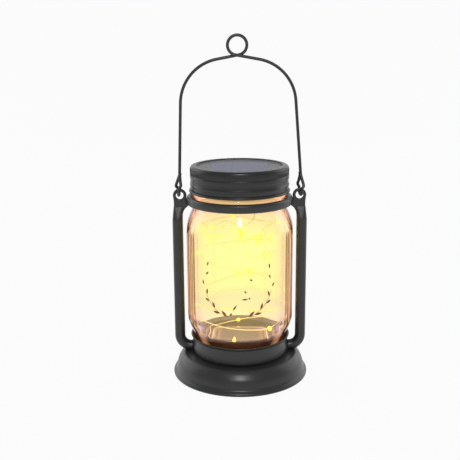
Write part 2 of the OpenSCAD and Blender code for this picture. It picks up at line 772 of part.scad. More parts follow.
module battery() {
    color([0.25, 0.5, 0.3])
        translate([battery_x0, battery_y, battery_z])
            rotate([0, 90, 0]) {
                cylinder(r = battery_d / 2, h = battery_len - nub_h, $fn = round_fn);
                cylinder(r = nub_r, h = battery_len, $fn = round_fn);
            }
}

module battery_contacts() {
    color([0.75, 0.75, 0.76])
        for (x = [-contact_x, contact_x - contact_t])
            translate([x, battery_y - contact_w / 2, cover_top + contact_up])
                cube([contact_t, contact_w, contact_h]);
}

module battery_spring() {
    turns = 2.5;
    n = 40;
    gap = spring_len - spring_wire;
    coil = [for (i = [0:n])
        let(a = 360 * turns * i / n, r = 3 - 0.8 * i / n)
        [-contact_x + contact_t + spring_wire / 2 + gap * i / n,
         battery_y + r * cos(a), battery_z + r * sin(a)]];
    color([0.75, 0.75, 0.76])
        tube_along(coil, spring_wire / 2, 6, [1, 0, 0]);
}

module wire_grommet() {
    color([0.08, 0.08, 0.08])
        translate([outlet[0], outlet[1], 0])
            difference() {
                union() {
                    translate([0, 0, tub_z - 0.8])
                        cylinder(r1 = grommet_r + 0.4, r2 = grommet_r + 0.9, h = 0.8, $fn = round_fn);
                    translate([0, 0, tub_z - bite])
                        cylinder(r = grommet_r, h = tub_wall + 2 * bite, $fn = round_fn);
                    translate([0, 0, cover_top])
                        cylinder(r = grommet_r + 0.6, h = 0.6, $fn = round_fn);
                }
                translate([0, 0, tub_z - 2])
                    cylinder(r = string_d / 2 + snug, h = tub_wall + 4, $fn = round_fn);
            }
}

string_points = [for (p = string_route) polar(p)];
string_path = [for (i = [0:len(string_points) - 2], t = [0, 0.5]) between(string_points, i, t)];

module string_wire() {
    color(COPPER)
        tube_along(concat(string_path, [string_points[len(string_points) - 1]]), string_d / 2, 8, [0.3, 0.2, 1]);
}

module string_lights() {
    color([1, 0.85, 0.35])
        for (i = lit_points)
            translate(string_points[i])
                sphere(r = light_d / 2, $fn = round_fn);
}

base_foot();
jar_cup();
cup_rivet();
left_upright();
right_upright();
neck_ring();
glass_jar();
bail();
screw_band();
lid_seal();
solar_housing();
solar_window();
solar_cell();
bottom_cover();
cover_screws();
circuit_board();
board_parts();
panel_leads();
switch_body();
switch_knob();
battery();
battery_contacts();
battery_spring();
wire_grommet();
string_wire();
string_lights();
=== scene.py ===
# Mason jar lantern, dressed over its solid model. Blender works in metres; the outlines
# below are written in millimetres, as (radius, height) or (x, y, z), and scaled once.
import math
import random

import bmesh
import bpy
from mathutils import Matrix, Vector


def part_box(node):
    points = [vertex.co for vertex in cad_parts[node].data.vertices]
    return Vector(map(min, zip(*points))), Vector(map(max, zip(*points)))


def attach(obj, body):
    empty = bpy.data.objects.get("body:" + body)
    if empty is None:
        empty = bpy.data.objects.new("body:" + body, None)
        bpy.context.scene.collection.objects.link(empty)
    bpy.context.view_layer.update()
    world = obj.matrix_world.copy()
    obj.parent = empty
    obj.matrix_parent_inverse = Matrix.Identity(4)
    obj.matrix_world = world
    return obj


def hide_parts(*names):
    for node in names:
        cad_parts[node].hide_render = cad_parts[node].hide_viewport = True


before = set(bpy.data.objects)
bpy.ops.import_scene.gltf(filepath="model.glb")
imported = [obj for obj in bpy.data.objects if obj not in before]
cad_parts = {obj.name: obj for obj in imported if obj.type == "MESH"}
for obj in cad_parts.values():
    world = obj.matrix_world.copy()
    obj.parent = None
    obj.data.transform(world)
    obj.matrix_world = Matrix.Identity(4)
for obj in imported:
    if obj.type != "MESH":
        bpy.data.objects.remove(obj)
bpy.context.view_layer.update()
MM = 0.001
JAR_R, JAR_INNER_R = 39.25, 36.05
EAR_X = 44.45


# Camera
def make_camera():
    down, roll = math.radians(13.628), math.radians(-0.39)
    data = bpy.data.cameras.new("camera")
    data.sensor_width = 36
    data.lens = 61.2
    data.clip_start = 0.01
    camera = bpy.data.objects.new("camera", data)
    turn = Matrix.Rotation(math.pi / 2 - down, 4, "X") @ Matrix.Rotation(roll, 4, "Z")
    camera.matrix_world = Matrix.Translation((-0.00714, -0.56, 0.24518)) @ turn
    bpy.context.collection.objects.link(camera)
    bpy.context.scene.camera = camera


make_camera()


# Making and placing of pieces
def place(mesh, name, body, material, nodes=(), sharp=35):
    """A finished mesh becomes a piece that rides on a body and stands for the given solids."""
    mesh.materials.append(material)
    for face in mesh.polygons:
        face.use_smooth = True
    mesh.set_sharp_from_angle(angle=math.radians(sharp))
    piece = bpy.data.objects.new(name, mesh)
    bpy.context.collection.objects.link(piece)
    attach(piece, body)
    if nodes:
        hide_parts(*nodes)
    return piece


def mesh_of(bm, name):
    """The worked shape as a mesh; the working copy is let go."""
    mesh = bpy.data.meshes.new(name)
    bm.to_mesh(mesh)
    bm.free()
    return mesh


def rounded(corners, steps=5):
    """Outline through (radius, height, rounding) corners, each rounded that far along its sides."""
    out = []
    for i, (x, z, cut) in enumerate(corners):
        here = Vector((x, z))
        if cut == 0 or i in (0, len(corners) - 1):
            out.append(here)
            continue
        before = Vector(corners[i - 1][:2]) - here
        after = Vector(corners[i + 1][:2]) - here
        a = here + before.normalized() * min(cut, before.length * 0.49)
        b = here + after.normalized() * min(cut, after.length * 0.49)
        for k in range(steps + 1):
            t = k / steps
            out.append(a * (1 - t) ** 2 + here * 2 * t * (1 - t) + b * t * t)
    return out


def arc(middle, radius, start, end, steps=10):
    """Points of an arc from one bearing to another, in degrees."""
    turn = [math.radians(start + (end - start) * k / steps) for k in range(steps + 1)]
    return [Vector((middle[0] + radius * math.cos(a), middle[1] + radius * math.sin(a))) for a in turn]


def lathe(outline, steps=144, closed=True):
    """Solid turned from an outline round the Z axis."""
    bm = bmesh.new()
    points = [bm.verts.new((p[0] * MM, 0, p[1] * MM)) for p in outline]
    pairs = list(zip(points, points[1:]))
    if closed:
        pairs.append((points[-1], points[0]))
    edges = [bm.edges.new(pair) for pair in pairs]
    bmesh.ops.spin(bm, geom=points + edges, cent=(0, 0, 0), axis=(0, 0, 1), angle=2 * math.pi,
                   steps=steps, use_merge=True)
    bmesh.ops.remove_doubles(bm, verts=bm.verts, dist=1e-6)
    bmesh.ops.dissolve_degenerate(bm, dist=1e-7, edges=bm.edges)
    bmesh.ops.recalc_face_normals(bm, faces=bm.faces)
    return bm


def finer(outline, longest):
    """The same outline with no side longer than the given length."""
    out = [outline[0]]
    for a, b in zip(outline, outline[1:]):
        parts = max(1, math.ceil((b - a).length / longest))
        out += [a + (b - a) * k / parts for k in range(1, parts + 1)]
    return out


def smooth_line(points, per):
    """Smooth curve through the points, with per steps between each two."""
    out = []
    for i in range(len(points) - 1):
        a, b = points[max(0, i - 1)], points[i]
        c, d = points[i + 1], points[min(len(points) - 1, i + 2)]
        for k in range(per):
            t = k / per
            out.append(0.5 * (2 * b + (c - a) * t + (2 * a - 5 * b + 4 * c - d) * t * t
                              + (3 * b - a - 3 * c + d) * t ** 3))
    return out + [points[-1]]


def wire_curve(name, points, radius, resolution=4):
    """Round wire along the points, as a curve of one open spline."""
    data = bpy.data.curves.new(name, "CURVE")
    data.dimensions = "3D"
    data.bevel_depth = radius
    data.bevel_resolution = resolution
    data.use_fill_caps = True
    line = data.splines.new("POLY")
    line.points.add(len(points) - 1)
    for spot, p in zip(line.points, points):
        spot.co = (p[0], p[1], p[2], 1)
    return bpy.data.objects.new(name, data)


# Finishes
def link(tree, source, target):
    tree.links.new(source, target)


def node(tree, kind, **settings):
    """New node of a kind, with some of its settings changed."""
    made = tree.nodes.new(kind)
    for key, value in settings.items():
        setattr(made, key, value)
    return made


def new_material(name):
    """New material, its nodes and its one surface shader."""
    material = bpy.data.materials.new(name)
    material.use_nodes = True
    return material, material.node_tree, material.node_tree.nodes["Principled BSDF"]


def feed(tree, socket, given):
    """Give a socket its value: another node's output, a plain number or a plain colour."""
    if isinstance(given, bpy.types.NodeSocket):
        link(tree, given, socket)
    elif isinstance(given, tuple):
        socket.default_value = (*given, 1)
    else:
        socket.default_value = given


def reckoned(tree, operation, *given):
    """Outcome of one sum over sockets and plain numbers."""
    made = node(tree, "ShaderNodeMath", operation=operation)
    for socket, value in zip(made.inputs, given):
        feed(tree, socket, value)
    return made.outputs[0]


def mixed(tree, share, first, second, how="MIX"):
    """Two colours put together by a share of the second."""
    made = node(tree, "ShaderNodeMix", data_type="RGBA", blend_type=how)
    for title, value in (("Factor", share), ("A", first), ("B", second)):
        feed(tree, made.inputs[title], value)
    return made.outputs["Result"]


def facing_share(tree, bias):
    """0 where the surface faces the eye, up to 1 where it is seen edge on."""
    made = node(tree, "ShaderNodeLayerWeight")
    made.inputs["Blend"].default_value = bias
    return made.outputs["Facing"]


def noise(tree, place_of, scale, detail=None):
    """Fine pattern over the surface, at a given scale."""
    made = node(tree, "ShaderNodeTexNoise")
    link(tree, place_of.outputs["Object"], made.inputs["Vector"])
    feed(tree, made.inputs["Scale"], scale)
    if detail is not None:
        made.inputs["Detail"].default_value = detail
    return made.outputs["Fac"]


def own_value(tree, name, output="Color"):
    """What the mesh itself carries under this name."""
    return node(tree, "ShaderNodeAttribute", attribute_name=name).outputs[output]


def ramp(tree, share, stops):
    """Colour along a ramp through (place, colour) stops."""
    made = node(tree, "ShaderNodeValToRGB")
    rungs = made.color_ramp.elements
    while len(rungs) < len(stops):
        rungs.new(1)
    for rung, (place_on, colour) in zip(rungs, stops):
        rung.position = place_on
        rung.color = (*colour, 1)
    link(tree, share, made.inputs["Fac"])
    return made.outputs["Color"]


def either_shader(tree, share, first, second, output):
    """The output shows the first shader or the second."""
    mix = node(tree, "ShaderNodeMixShader")
    for socket, source in zip(mix.inputs, (share, first, second)):
        link(tree, source, socket)
    link(tree, mix.outputs["Shader"], tree.nodes[output].inputs["Surface"])


def paint_grain_group():
    """Colour, roughness and height of a sprayed or moulded surface with fine grain and faint blotches."""
    group = bpy.data.node_groups.new("paint_grain", "ShaderNodeTree")
    face = group.interface
    colour_kind, number_kind = "NodeSocketColor", "NodeSocketFloat"
    for title, kind, value in (("Light", colour_kind, (0.05, 0.05, 0.05, 1)),
                               ("Dark", colour_kind, (0.02, 0.02, 0.02, 1)),
                               ("Grain Scale", number_kind, 1500.0),
                               ("Smooth", number_kind, 0.35), ("Rough", number_kind, 0.5)):
        socket = face.new_socket(name=title, in_out="INPUT", socket_type=kind)
        socket.default_value = value
    for title, kind in (("Color", colour_kind), ("Roughness", number_kind), ("Height", number_kind)):
        face.new_socket(name=title, in_out="OUTPUT", socket_type=kind)
    given = node(group, "NodeGroupInput")
    result = node(group, "NodeGroupOutput")
    place_of = node(group, "ShaderNodeTexCoord")
    grain = noise(group, place_of, given.outputs["Grain Scale"], 2)
    blotch = noise(group, place_of, 45, 3)
    both = reckoned(group, "MULTIPLY_ADD", grain, 0.55, reckoned(group, "MULTIPLY", blotch, 0.45))
    dull = node(group, "ShaderNodeMix", data_type="FLOAT")
    link(group, blotch, dull.inputs["Factor"])
    link(group, given.outputs["Smooth"], dull.inputs["A"])
    link(group, given.outputs["Rough"], dull.inputs["B"])
    link(group, mixed(group, both, given.outputs["Dark"], given.outputs["Light"]), result.inputs["Color"])
    link(group, dull.outputs["Result"], result.inputs["Roughness"])
    link(group, grain, result.inputs["Height"])
    return group


PAINT_GRAIN = paint_grain_group()


def coated(name, light, dark, smooth, rough, grain=1500, bump=0.1, metallic=0.0):
    """A surface whose colour, gloss and relief come from the grain group."""
    material, tree, shader = new_material(name)
    group = node(tree, "ShaderNodeGroup", node_tree=PAINT_GRAIN)
    for title, value in (("Light", light), ("Dark", dark), ("Grain Scale", grain),
                         ("Smooth", smooth), ("Rough", rough)):
        feed(tree, group.inputs[title], value)
    relief = node(tree, "ShaderNodeBump")
    relief.inputs["Strength"].default_value = bump
    relief.inputs["Distance"].default_value = 0.1 * MM
    link(tree, group.outputs["Color"], shader.inputs["Base Color"])
    link(tree, group.outputs["Roughness"], shader.inputs["Roughness"])
    link(tree, group.outputs["Height"], relief.inputs["Height"])
    link(tree, relief.outputs["Normal"], shader.inputs["Normal"])
    shader.inputs["Metallic"].default_value = metallic
    return material


FRAME_PAINT = coated("charcoal_frame_paint", (0.028, 0.031, 0.030), (0.018, 0.020, 0.019), 0.29, 0.39)
LID_PAINT = coated("charcoal_lid_paint", (0.017, 0.017, 0.017), (0.010, 0.010, 0.011), 0.26, 0.38)
BLACK_PLASTIC = coated("black_moulding", (0.040, 0.041, 0.044), (0.028, 0.029, 0.031), 0.45, 0.6, 900, 0.2)
SEAL_RUBBER = coated("pale_seal_rubber", (0.70, 0.70, 0.66), (0.62, 0.62, 0.58), 0.7, 0.85, 700, 0.2)
PLAIN_STEEL = coated("plain_steel", (0.62, 0.62, 0.64), (0.52, 0.52, 0.54), 0.25, 0.4, 1100, 0.1, 1.0)
BOARD_GREEN = coated("green_board", (0.03, 0.22, 0.08), (0.02, 0.15, 0.06), 0.35, 0.45, 1200, 0.1)
CHIP_BLACK = coated("black_chip", (0.035, 0.035, 0.036), (0.022, 0.022, 0.023), 0.5, 0.65, 1800, 0.2)
LEAD_RED = coated("red_lead", (0.50, 0.05, 0.05), (0.42, 0.04, 0.04), 0.4, 0.5, 1500, 0.1)
KNOB_WHITE = coated("white_knob", (0.80, 0.80, 0.80), (0.72, 0.72, 0.72), 0.4, 0.5, 1300, 0.1)
BATTERY_WRAP = coated("battery_wrap", (0.12, 0.36, 0.16), (0.10, 0.30, 0.13), 0.2, 0.3, 600, 0.05)
GROMMET_RUBBER = coated("black_rubber", (0.032, 0.032, 0.033), (0.02, 0.02, 0.021), 0.7, 0.85, 900, 0.2)
COPPER = coated("pale_copper_painted_glow", (0.95, 0.80, 0.52), (0.86, 0.70, 0.42), 0.30, 0.45, 2500, 0.1, 0.4)
# Painted light: the wire gets a faint warm glow of its own, standing for the light of the beads falling on it.
wire_painted_glow = COPPER.node_tree.nodes["Principled BSDF"]
wire_painted_glow.inputs["Emission Color"].default_value = (1.0, 0.88, 0.52, 1)
wire_painted_glow.inputs["Emission Strength"].default_value = 0.38


# String of lights: the wire's route as (bearing in degrees, radius, height)
ROUTE = [
    (-56.3, 18, 138.5), (-56.3, 18, 131.5), (-57, 18.5, 126.5), (-64, 22, 122.5), (-77, 26, 120), (-92, 27, 117.5),
    (-106, 27, 119), (-119, 27, 116.5), (-125, 27, 110.5), (-117, 27, 104.5), (-104, 27, 102.5), (-91, 27, 106),
    (-88, 24.5, 113), (-97, 24.5, 119), (-115, 25.5, 121.5), (-137, 27, 116), (-165, 28, 117), (150, 28, 113),
    (100, 28, 116), (50, 28, 112), (0, 28, 115), (-32, 27.5, 118), (-50, 27, 115), (-57, 27, 111),
    (-70, 27, 110), (-83, 27.5, 107), (-86, 28, 101), (-76, 29, 96.5), (-58, 30.5, 97.5), (-18, 32.8, 99.5),
    (20, 33.5, 97), (65, 33.5, 95), (120, 33.5, 92), (180, 33.5, 96), (-150, 33.5, 97), (-120, 33.5, 91),
    (-80, 33.5, 88), (-45, 33.5, 78), (-22, 33.5, 68), (30, 33.5, 71), (90, 33.5, 65), (150, 33.5, 60),
    (-155, 33.5, 57), (-100, 33.5, 60), (-50, 33.5, 56), (5, 33.5, 52), (65, 33.5, 55), (125, 33.5, 52),
    (-175, 33.5, 48), (-135, 33, 46.5), (-95, 32.5, 44), (-48, 31, 40.5), (5, 30.5, 37.5), (50, 29, 34),
    (92, 27, 30), (135, 25.5, 28.5), (175, 24.5, 28), (-155, 21.5, 27.4), (-136, 16.5, 27.3), (-114, 11, 27.7)]
# Stops of the route that carry a light
LIT = [5, 8, 12, 15, 18, 20, 23, 24, 28, 31, 34, 36, 38, 40, 42, 45, 48, 51, 54, 59]


def on_route(spot):
    """Point of the route in metres."""
    bearing, radius, height = spot
    a = math.radians(bearing)
    return Vector((radius * math.cos(a), radius * math.sin(a), height)) * MM


STOPS = [on_route(p) for p in ROUTE]
LIGHT_SPOTS = [STOPS[i] for i in LIT]


def make_lights():
    """Warm resin beads, each drawn out a little along the wire, with an open glow of their own."""
    material, tree, shader = new_material("warm_light_resin")
    tint = mixed(tree, facing_share(tree, 0.4), (1.0, 0.86, 0.06), (1.0, 0.70, 0.02))
    link(tree, tint, shader.inputs["Emission Color"])
    shader.inputs["Base Color"].default_value = (1.0, 0.8, 0.35, 1)
    shader.inputs["Emission Strength"].default_value = 2.2
    shader.inputs["Roughness"].default_value = 0.15
    bm = bmesh.new()
    for i in LIT:
        along = (STOPS[min(i + 1, len(STOPS) - 1)] - STOPS[i - 1]).normalized()
        turn = along.to_track_quat("Z", "Y").to_matrix().to_4x4()
        shape = Matrix.Translation(STOPS[i]) @ turn @ Matrix.Diagonal((1, 1, 1.15, 1))
        bmesh.ops.create_icosphere(bm, subdivisions=3, radius=1.25 * MM, matrix=shape)
    return place(mesh_of(bm, "string_light_beads"), "string_light_beads", "solar_lid", material,
                 ("string_lights",), sharp=180)


def make_string():
    beads = make_lights()
    points = smooth_line(STOPS, 6)
    wire = wire_curve("copper_wire", points, 0.4 * MM, 3)
    wire.data.materials.append(COPPER)
    bpy.context.collection.objects.link(wire)
    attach(wire, "solar_lid")
    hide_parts("string_wire")


make_string()


# Foot, cup and ring
def make_foot():
    roll = arc((48.4, 0.5), 2.2, 50, -13, 9)
    inner_roll = arc((48.4, 0.5), 2.2, 193, 132, 6)
    top = rounded([(0, 16.4, 0), (39.0, 16.4, 1.0), (42.2, 16.2, 1.2), (44.2, 14.4, 1.2), (46.5, 10.9, 1.6),
                   (47.3, 8.6, 1.6), (47.85, 6.2, 1.6), (48.1, 4.6, 1.0), (48.6, 3.2, 0.9), (49.81, 2.19, 0)])
    under = rounded([(46.9, 2.1, 0), (46.9, 5.2, 1), (46.7, 6.7, 1.5), (45.0, 11.4, 2), (44.0, 13.8, 2),
                     (42.0, 14.95, 1), (39.0, 15.2, 1), (2.6, 15.2, 0), (2.55, 15.9, 0), (0, 15.9, 0)])
    bm = lathe(top + roll[1:] + inner_roll + under, 180, closed=False)
    place(mesh_of(bm, "pressed_foot"), "pressed_foot", "lantern_frame", FRAME_PAINT,
          ("base_foot",))


def make_cup():
    outside = rounded([(0, 16.4, 0), (35.8, 16.4, 2.0), (35.8, 26.9, 2), (36.1, 28.6, 1), (36.95, 29.6, 0.3)])
    lip = arc((36.3, 29.7), 0.7, 0, 170, 8)
    inside = rounded([(35.75, 29.0, 0), (34.6, 27.6, 1.5), (34.6, 17.6, 1.2), (2.55, 17.6, 0),
                      (2.5, 17.0, 0), (0, 17.0, 0)])
    bm = lathe(outside + lip + inside, 160, closed=False)
    place(mesh_of(bm, "flared_cup"), "flared_cup", "lantern_frame", FRAME_PAINT,
          ("jar_cup",))


def make_neck_ring():
    outline = arc((36.7, 134.0), 1.9, 0, 180, 12) + arc((36.7, 131.4), 1.9, 180, 360, 12)
    bm = lathe(outline, 160)
    place(mesh_of(bm, "welded_neck_ring"), "welded_neck_ring", "lantern_frame", FRAME_PAINT,
          ("neck_ring",))


# Uprights: the solid's own shape with its edges softened as a pressed and painted tube's are
def make_upright(side):
    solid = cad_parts[side + "_upright"]
    bm = bmesh.new()
    bm.from_mesh(solid.data)
    bmesh.ops.remove_doubles(bm, verts=bm.verts, dist=1e-6)
    bmesh.ops.recalc_face_normals(bm, faces=bm.faces)
    name = side + "_tube_upright"
    mesh = mesh_of(bm, name)
    mesh.materials.clear()
    piece = place(mesh, name, "lantern_frame", FRAME_PAINT, (side + "_upright",), sharp=180)
    grid = piece.modifiers.new("even_grid", "REMESH")
    grid.mode = "VOXEL"
    grid.voxel_size = 0.42 * MM
    grid.use_smooth_shade = True
    soft = piece.modifiers.new("soft_edges", "SMOOTH")
    soft.factor = 0.5
    soft.iterations = 14
    return piece


# Bail: one wire, from the right ear's loop over the crown and round the eye to the left ear's loop
def bail_leg(side, loop_turn, twist, knee_rise, apex_x, shoulder, leg_turn, crown):
    """Half of the bail, from the cut end of its loop up to the crown."""
    turn = math.radians(loop_turn)
    loop_r, loop_z, loop_steps = 3.8, 139.55, 14
    knee_y, knee_z = 2.9, 143.35
    arm_r, arm_steps = 31.7, 24
    apex = Vector((side * apex_x, 0, 150.85))
    loop = []
    for k in range(loop_steps + 1):
        a = math.radians(110 - 220 * k / loop_steps)
        reach = loop_r * math.sin(a)
        loop.append(Vector((side * (EAR_X - reach * math.sin(turn)), side * reach * math.cos(turn),
                            loop_z + loop_r * math.cos(a - math.pi))))
    front = Vector((side * (EAR_X + twist), -side * knee_y, knee_z + knee_rise))
    rear = Vector((side * (EAR_X - twist), side * knee_y, knee_z))
    tail = [apex + Vector((-side * 0.6, side * 1.9, 1.4)), apex + Vector((-side * 0.3, side * 1.6, -0.6))]
    strand = smooth_line(tail + [rear + (apex - rear) * 0.35, rear] + loop[:1], 5)[:-1]
    other = smooth_line([loop[-1], front, front + (apex - front) * 0.6, apex], 5)[1:]
    arm = []
    for k in range(arm_steps + 1):
        a = math.radians(leg_turn + (crown - leg_turn) * k / arm_steps)
        arm.append(Vector((side * (shoulder[0] + arm_r * math.cos(a)), 0, shoulder[1] + arm_r * math.sin(a))))
    return strand + loop + other + arm


def make_bail():
    right = bail_leg(1, 12, 1.9, -0.7, 44.3, (8.6, 201.05), 4.45, 79.5)
    left = bail_leg(-1, 12, 1.9, -1, 43.4, (10.0, 201.28), 1.92, 79.5)
    eye_x, eye_z, eye_r, eye_steps = -1.3, 242.05, 6.8, 40
    eye = []
    for k in range(eye_steps + 1):
        a = math.radians(259.5 - 339 * k / eye_steps)
        lean = 1.2 * math.copysign((1 - math.sin(a)) / 2, k - eye_steps // 2)
        eye.append(Vector((eye_x + eye_r * math.cos(a), lean, eye_z + eye_r * math.sin(a))))
    points = [p * MM for p in right + eye + left[::-1]]
    wire = wire_curve("bail_wire", points, 1.1 * MM, 5)
    wire.data.materials.append(FRAME_PAINT)
    bpy.context.collection.objects.link(wire)
    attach(wire, "bail_handle")
    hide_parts("bail")


# Screw band with its rolled thread and fine knurl
def add_knurl(bm, columns):
    """Every other column of the band's upper wall is pressed in."""
    low, high, depth = 151.3, 155.9, 0.34
    for v in bm.verts:
        radius = math.hypot(v.co.x, v.co.y)
        if radius > 35.8 * MM and low * MM < v.co.z < high * MM:
            column = round(math.atan2(v.co.y, v.co.x) / (2 * math.pi) * columns)
            if column % 2:
                v.co.xy *= 1 - depth * MM / radius


def roll_thread(bm):
    """The rolled thread shows as two slanting ribs in the band's groove."""
    low, high, pitch, start, depth, width = 141.0, 149.3, 5.08, 148.9, 0.28, 0.8
    for v in bm.verts:
        radius = math.hypot(v.co.x, v.co.y)
        height = v.co.z / MM
        if radius > 35.6 * MM and low < height < high:
            bearing = math.degrees(math.atan2(v.co.y, v.co.x))
            line = start + pitch * (bearing + 15) / 360
            nearest = min(abs(height - line), abs(height - line + pitch))
            v.co.xy *= 1 + depth * MM / radius * math.exp(-(nearest / width) ** 2)


def make_band():
    outside = rounded([(35.6, 140.3, 0), (35.6, 141.4, 0.6), (35.65, 142.9, 0.6), (36.02, 144.3, 0.7),
                       (35.65, 145.6, 0.6), (35.55, 148.2, 1.0), (36.0, 149.9, 0.8), (35.85, 151.3, 0.6),
                       (35.98, 155.8, 0.3)], 3)
    shoulder = rounded([(35.98, 155.8, 0), (35.4, 157.1, 0.3), (34.6, 157.75, 0.4), (33.6, 158.0, 0.6),
                        (31.9, 158.0, 0)], 6)
    top = rounded([(31.6, 158.0, 0), (31.2, 157.95, 0.15), (31.2, 157.5, 0)])
    inside = rounded([(34.0, 157.45, 0), (35.45, 156.6, 0.8), (35.45, 152.5, 0.5), (35.25, 148.6, 0.4),
                      (35.25, 141.0, 0.4), (35.1, 140.2, 0)])
    curl = arc((35.85, 139.65), 0.95, 148, -205, 18)[::-1]
    columns = 360
    bm = lathe(outside + shoulder + top + inside, columns)
    add_knurl(bm, columns)
    roll_thread(bm)
    skirt = mesh_of(bm, "knurled_band")
    bm = lathe(curl, 180)
    bm.from_mesh(skirt)
    bpy.data.meshes.remove(skirt)
    place(mesh_of(bm, "knurled_screw_band"), "knurled_screw_band", "lid_band", LID_PAINT,
          ("screw_band",), sharp=50)


# Jar
def jar_glass():
    """Amber glass: painted shade makes it peach and then brown where its outer skin is seen edge on, with a
    painted glow on those edges, and painted light from the string inside.
    """
    material, tree, shader = new_material("amber_jar_glass")
    facing = facing_share(tree, 0.5)
    slant = reckoned(tree, "MULTIPLY", facing, own_value(tree, "outer_skin", "Fac"))
    # Painted shade: the outer skin turns peach, brown and near black the more edge on it is seen.
    depth = ramp(tree, slant, (
        (0.0, (1, 1, 1)), (0.2, (0.99, 0.93, 1)), (0.35, (0.95, 0.79, 1)), (0.5, (0.88, 0.60, 0.92)),
        (0.62, (0.78, 0.42, 0.55)), (0.68, (0.40, 0.16, 0.14)), (0.74, (0.06, 0.02, 0.02))))
    base = mixed(tree, 1, own_value(tree, "tint_with_painted_light_and_shade"), depth, "MULTIPLY")
    seen = node(tree, "ShaderNodeMapRange")
    seen.inputs["From Min"].default_value = 0.14
    seen.inputs["From Max"].default_value = 0.26
    link(tree, facing, seen.inputs["Value"])
    shaded = reckoned(tree, "MULTIPLY", seen.outputs["Result"], own_value(tree, "heel_shade", "Fac"))
    link(tree, mixed(tree, shaded, base, (0.008, 0.002, 0.0007)), shader.inputs["Base Color"])
    edge_light = ramp(tree, slant, (
        (0.0, (0, 0, 0)), (0.50, (0, 0, 0)), (0.60, (0.38, 0.18, 0.09)), (0.66, (0.34, 0.15, 0.07)),
        (0.73, (0.02, 0.005, 0.0))))
    # Painted light: the string's light on the inner skin, and a brown glow on rims seen edge on, added as
    # emission.
    link(tree, mixed(tree, 1, own_value(tree, "painted_lamp_glow"), edge_light, "ADD"), shader.inputs["Emission Color"])
    shader.inputs["Emission Strength"].default_value = 1.0
    shader.inputs["Transmission Weight"].default_value = 1.0
    shader.inputs["Roughness"].default_value = 0.02
    shader.inputs["IOR"].default_value = 1.45
    clear = node(tree, "ShaderNodeBsdfTransparent")
    clear.inputs["Color"].default_value = (0.9, 0.72, 0.45, 1)
    path = node(tree, "ShaderNodeLightPath")
    either_shader(tree, path.outputs["Is Shadow Ray"], shader.outputs["BSDF"], clear.outputs["BSDF"],
                  "Material Output")
    return material


JAR_GLASS = jar_glass()


FLUTES_END, FLUTE_WIDTH = 40, 10
FLUTES_LOW, FLUTES_HIGH = 40, 114


def from_side(bearing):
    """Degrees from the nearer side of the jar."""
    return min(abs(bearing), 180 - abs(bearing))


def flute(bearing, height):
    """How deep the upright flutes in the jar's sides are here, and how strongly the painted shade of their end
    line shows.

    The flutes behind are shallower, and have no painted end line.
    """
    side = from_side(bearing)
    if side > FLUTES_END or not FLUTES_LOW < height < FLUTES_HIGH:
        return 0, 0
    ends = min(1, (height - FLUTES_LOW) / 6, (FLUTES_HIGH - height) / 6)
    wave = 0.5 - 0.5 * math.cos(math.radians((FLUTES_END - side) * 360 / FLUTE_WIDTH))
    end_line_shade = math.exp(-((side - 38.6) / 1.3) ** 2) * min(1, (height - FLUTES_LOW) / 40)
    return wave * ends * (0.5 if bearing > 0 and side > 20 else 1), end_line_shade * ends * (bearing < 0)


def blend(first, second, share):
    """Colour between two, at a share of the way to the second."""
    return [a + (b - a) * share for a, b in zip(first, second)]


def held(value, most=1):
    """The value, held between nothing and the most."""
    return max(0, min(most, value))


def jar_middle(height):
    """Radius halfway through the wall of the jar's shoulder and neck."""
    steps = ((107, 37.6), (113, 37.5), (119.6, 35.8), (124.8, 33.3), (129, 32.0), (160, 32.0))
    for (low, a), (high, b) in zip(steps, steps[1:]):
        if height <= high:
            return a + (b - a) * (height - low) / (high - low)


def jar_skin():
    """Outline of the jar: up its outside, and down its inside to the middle of its floor."""
    outside = rounded([(0, 20.3, 0), (20.0, 20.3, 2), (23.5, 17.6, 1.5), (27.5, 17.6, 0.8), (28.6, 18.6, 1.2),
                       (32.6, 26.3, 5), (39.3, 42.6, 5), (JAR_R, 50.0, 3)], 6)
    outside += [Vector((JAR_R, z)) for z in range(54, 106, 4)]
    outside += rounded([(JAR_R, 107.0, 0), (39.1, 114.0, 4), (37.2, 120.6, 4), (35.0, 125.2, 2.5),
                        (34.05, 128.6, 1.6), (34.0, 131.0, 0.5), (34.0, 135.4, 0.5), (34.5, 136.3, 0.4),
                        (34.5, 137.6, 0.4), (34.0, 138.4, 0.4), (34.0, 152.9, 0.4), (33.3, 153.7, 0.3)], 6)
    inside = rounded([(30.6, 153.7, 0), (30.0, 153.0, 0.4), (30.0, 129.0, 2), (31.4, 124.8, 2.5),
                      (34.0, 119.6, 3), (35.9, 113.0, 4), (JAR_INNER_R, 107.0, 0)], 6)
    inside += [Vector((JAR_INNER_R, z)) for z in range(102, 52, -4)]
    inside += rounded([(JAR_INNER_R, 50.0, 0), (36.0, 45.0, 5), (29.6, 29.0, 3), (27.3, 26.3, 1.6),
                       (0, 26.3, 0)], 6)
    return finer(outside + inside, 1.3)


def inner_glow(radius, height, near):
    """Painted light on the jar's floor, inner wall and neck, for the light they catch from the string."""
    if height < 30:
        ring = math.exp(-((radius - 17) / 1.6) ** 2) + 0.35 * (radius < 17)
        return 0.14 + 0.20 * ring, 0.08 + 0.12 * ring, 0.045 + 0.06 * ring
    if height < 128:
        floor_light = max(0, (38 - height) / 8)
        return (0.06 + 0.10 * near + 0.19 * floor_light, 0.055 + 0.08 * near + 0.095 * floor_light,
                0.15 * floor_light)
    neck = 0.2 * (height < 136) + 1.2 * math.exp(-((height - 135.9) / 0.9) ** 2)
    return 0.70 * neck, 0.50 * neck, 0.23 * neck


